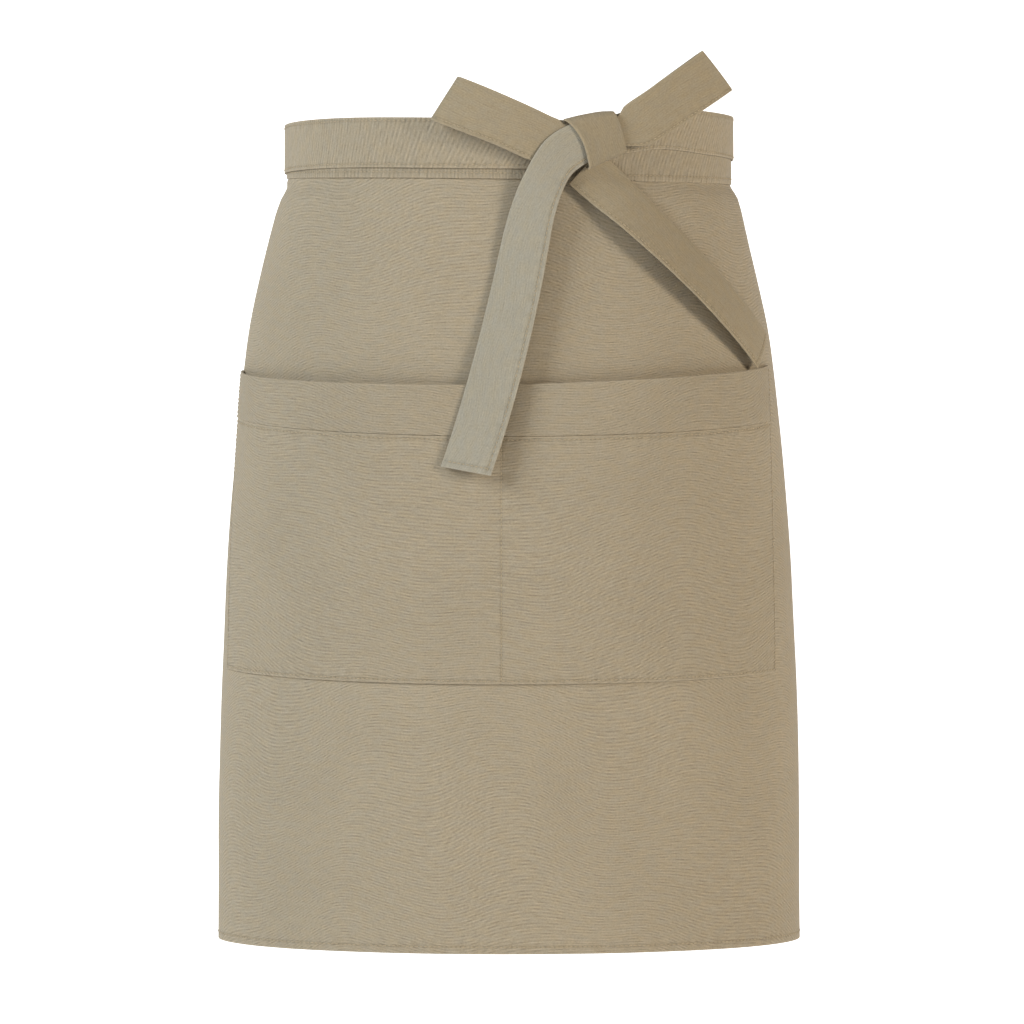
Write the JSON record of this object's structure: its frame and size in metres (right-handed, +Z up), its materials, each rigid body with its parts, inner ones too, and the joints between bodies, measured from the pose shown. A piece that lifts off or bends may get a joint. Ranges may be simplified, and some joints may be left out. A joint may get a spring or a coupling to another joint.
{
  "type": "waist apron",
  "caption": "Canvas half apron on its worn form: curved panel sewn into a waistband, wide two-compartment patch pocket, and two ties that cross at the back and end in a bow at the front.",
  "frame": {"origin": "middle of the wearer's waist, level with the middle of the waistband at the front", "axes": "+X to the viewer's right when the front is seen, -Y out of the front, +Z up"},
  "size_m": [0.397, 0.24, 0.5983],
  "materials": {
    "panel_cloth": "matt khaki cotton twill",
    "waistband_cloth": "matt khaki cotton twill, edge stitched",
    "pocket_cloth": "matt khaki cotton twill, edge stitched",
    "tie_cloth": "matt khaki cotton twill, folded strip",
    "bow_cloth": "matt khaki cotton twill, folded strip"
  },
  "bodies": {
    "root": {"main_panel": "panel_cloth", "waistband": "waistband_cloth", "pocket_panel": "pocket_cloth", "pocket_band": "pocket_cloth", "tie_left": "tie_cloth", "tie_right": "tie_cloth", "ear_left": "bow_cloth", "ear_right": "bow_cloth", "bow_knot": "bow_cloth", "tail_left": "bow_cloth", "tail_right": "bow_cloth"}
  },
  "joints": []
}
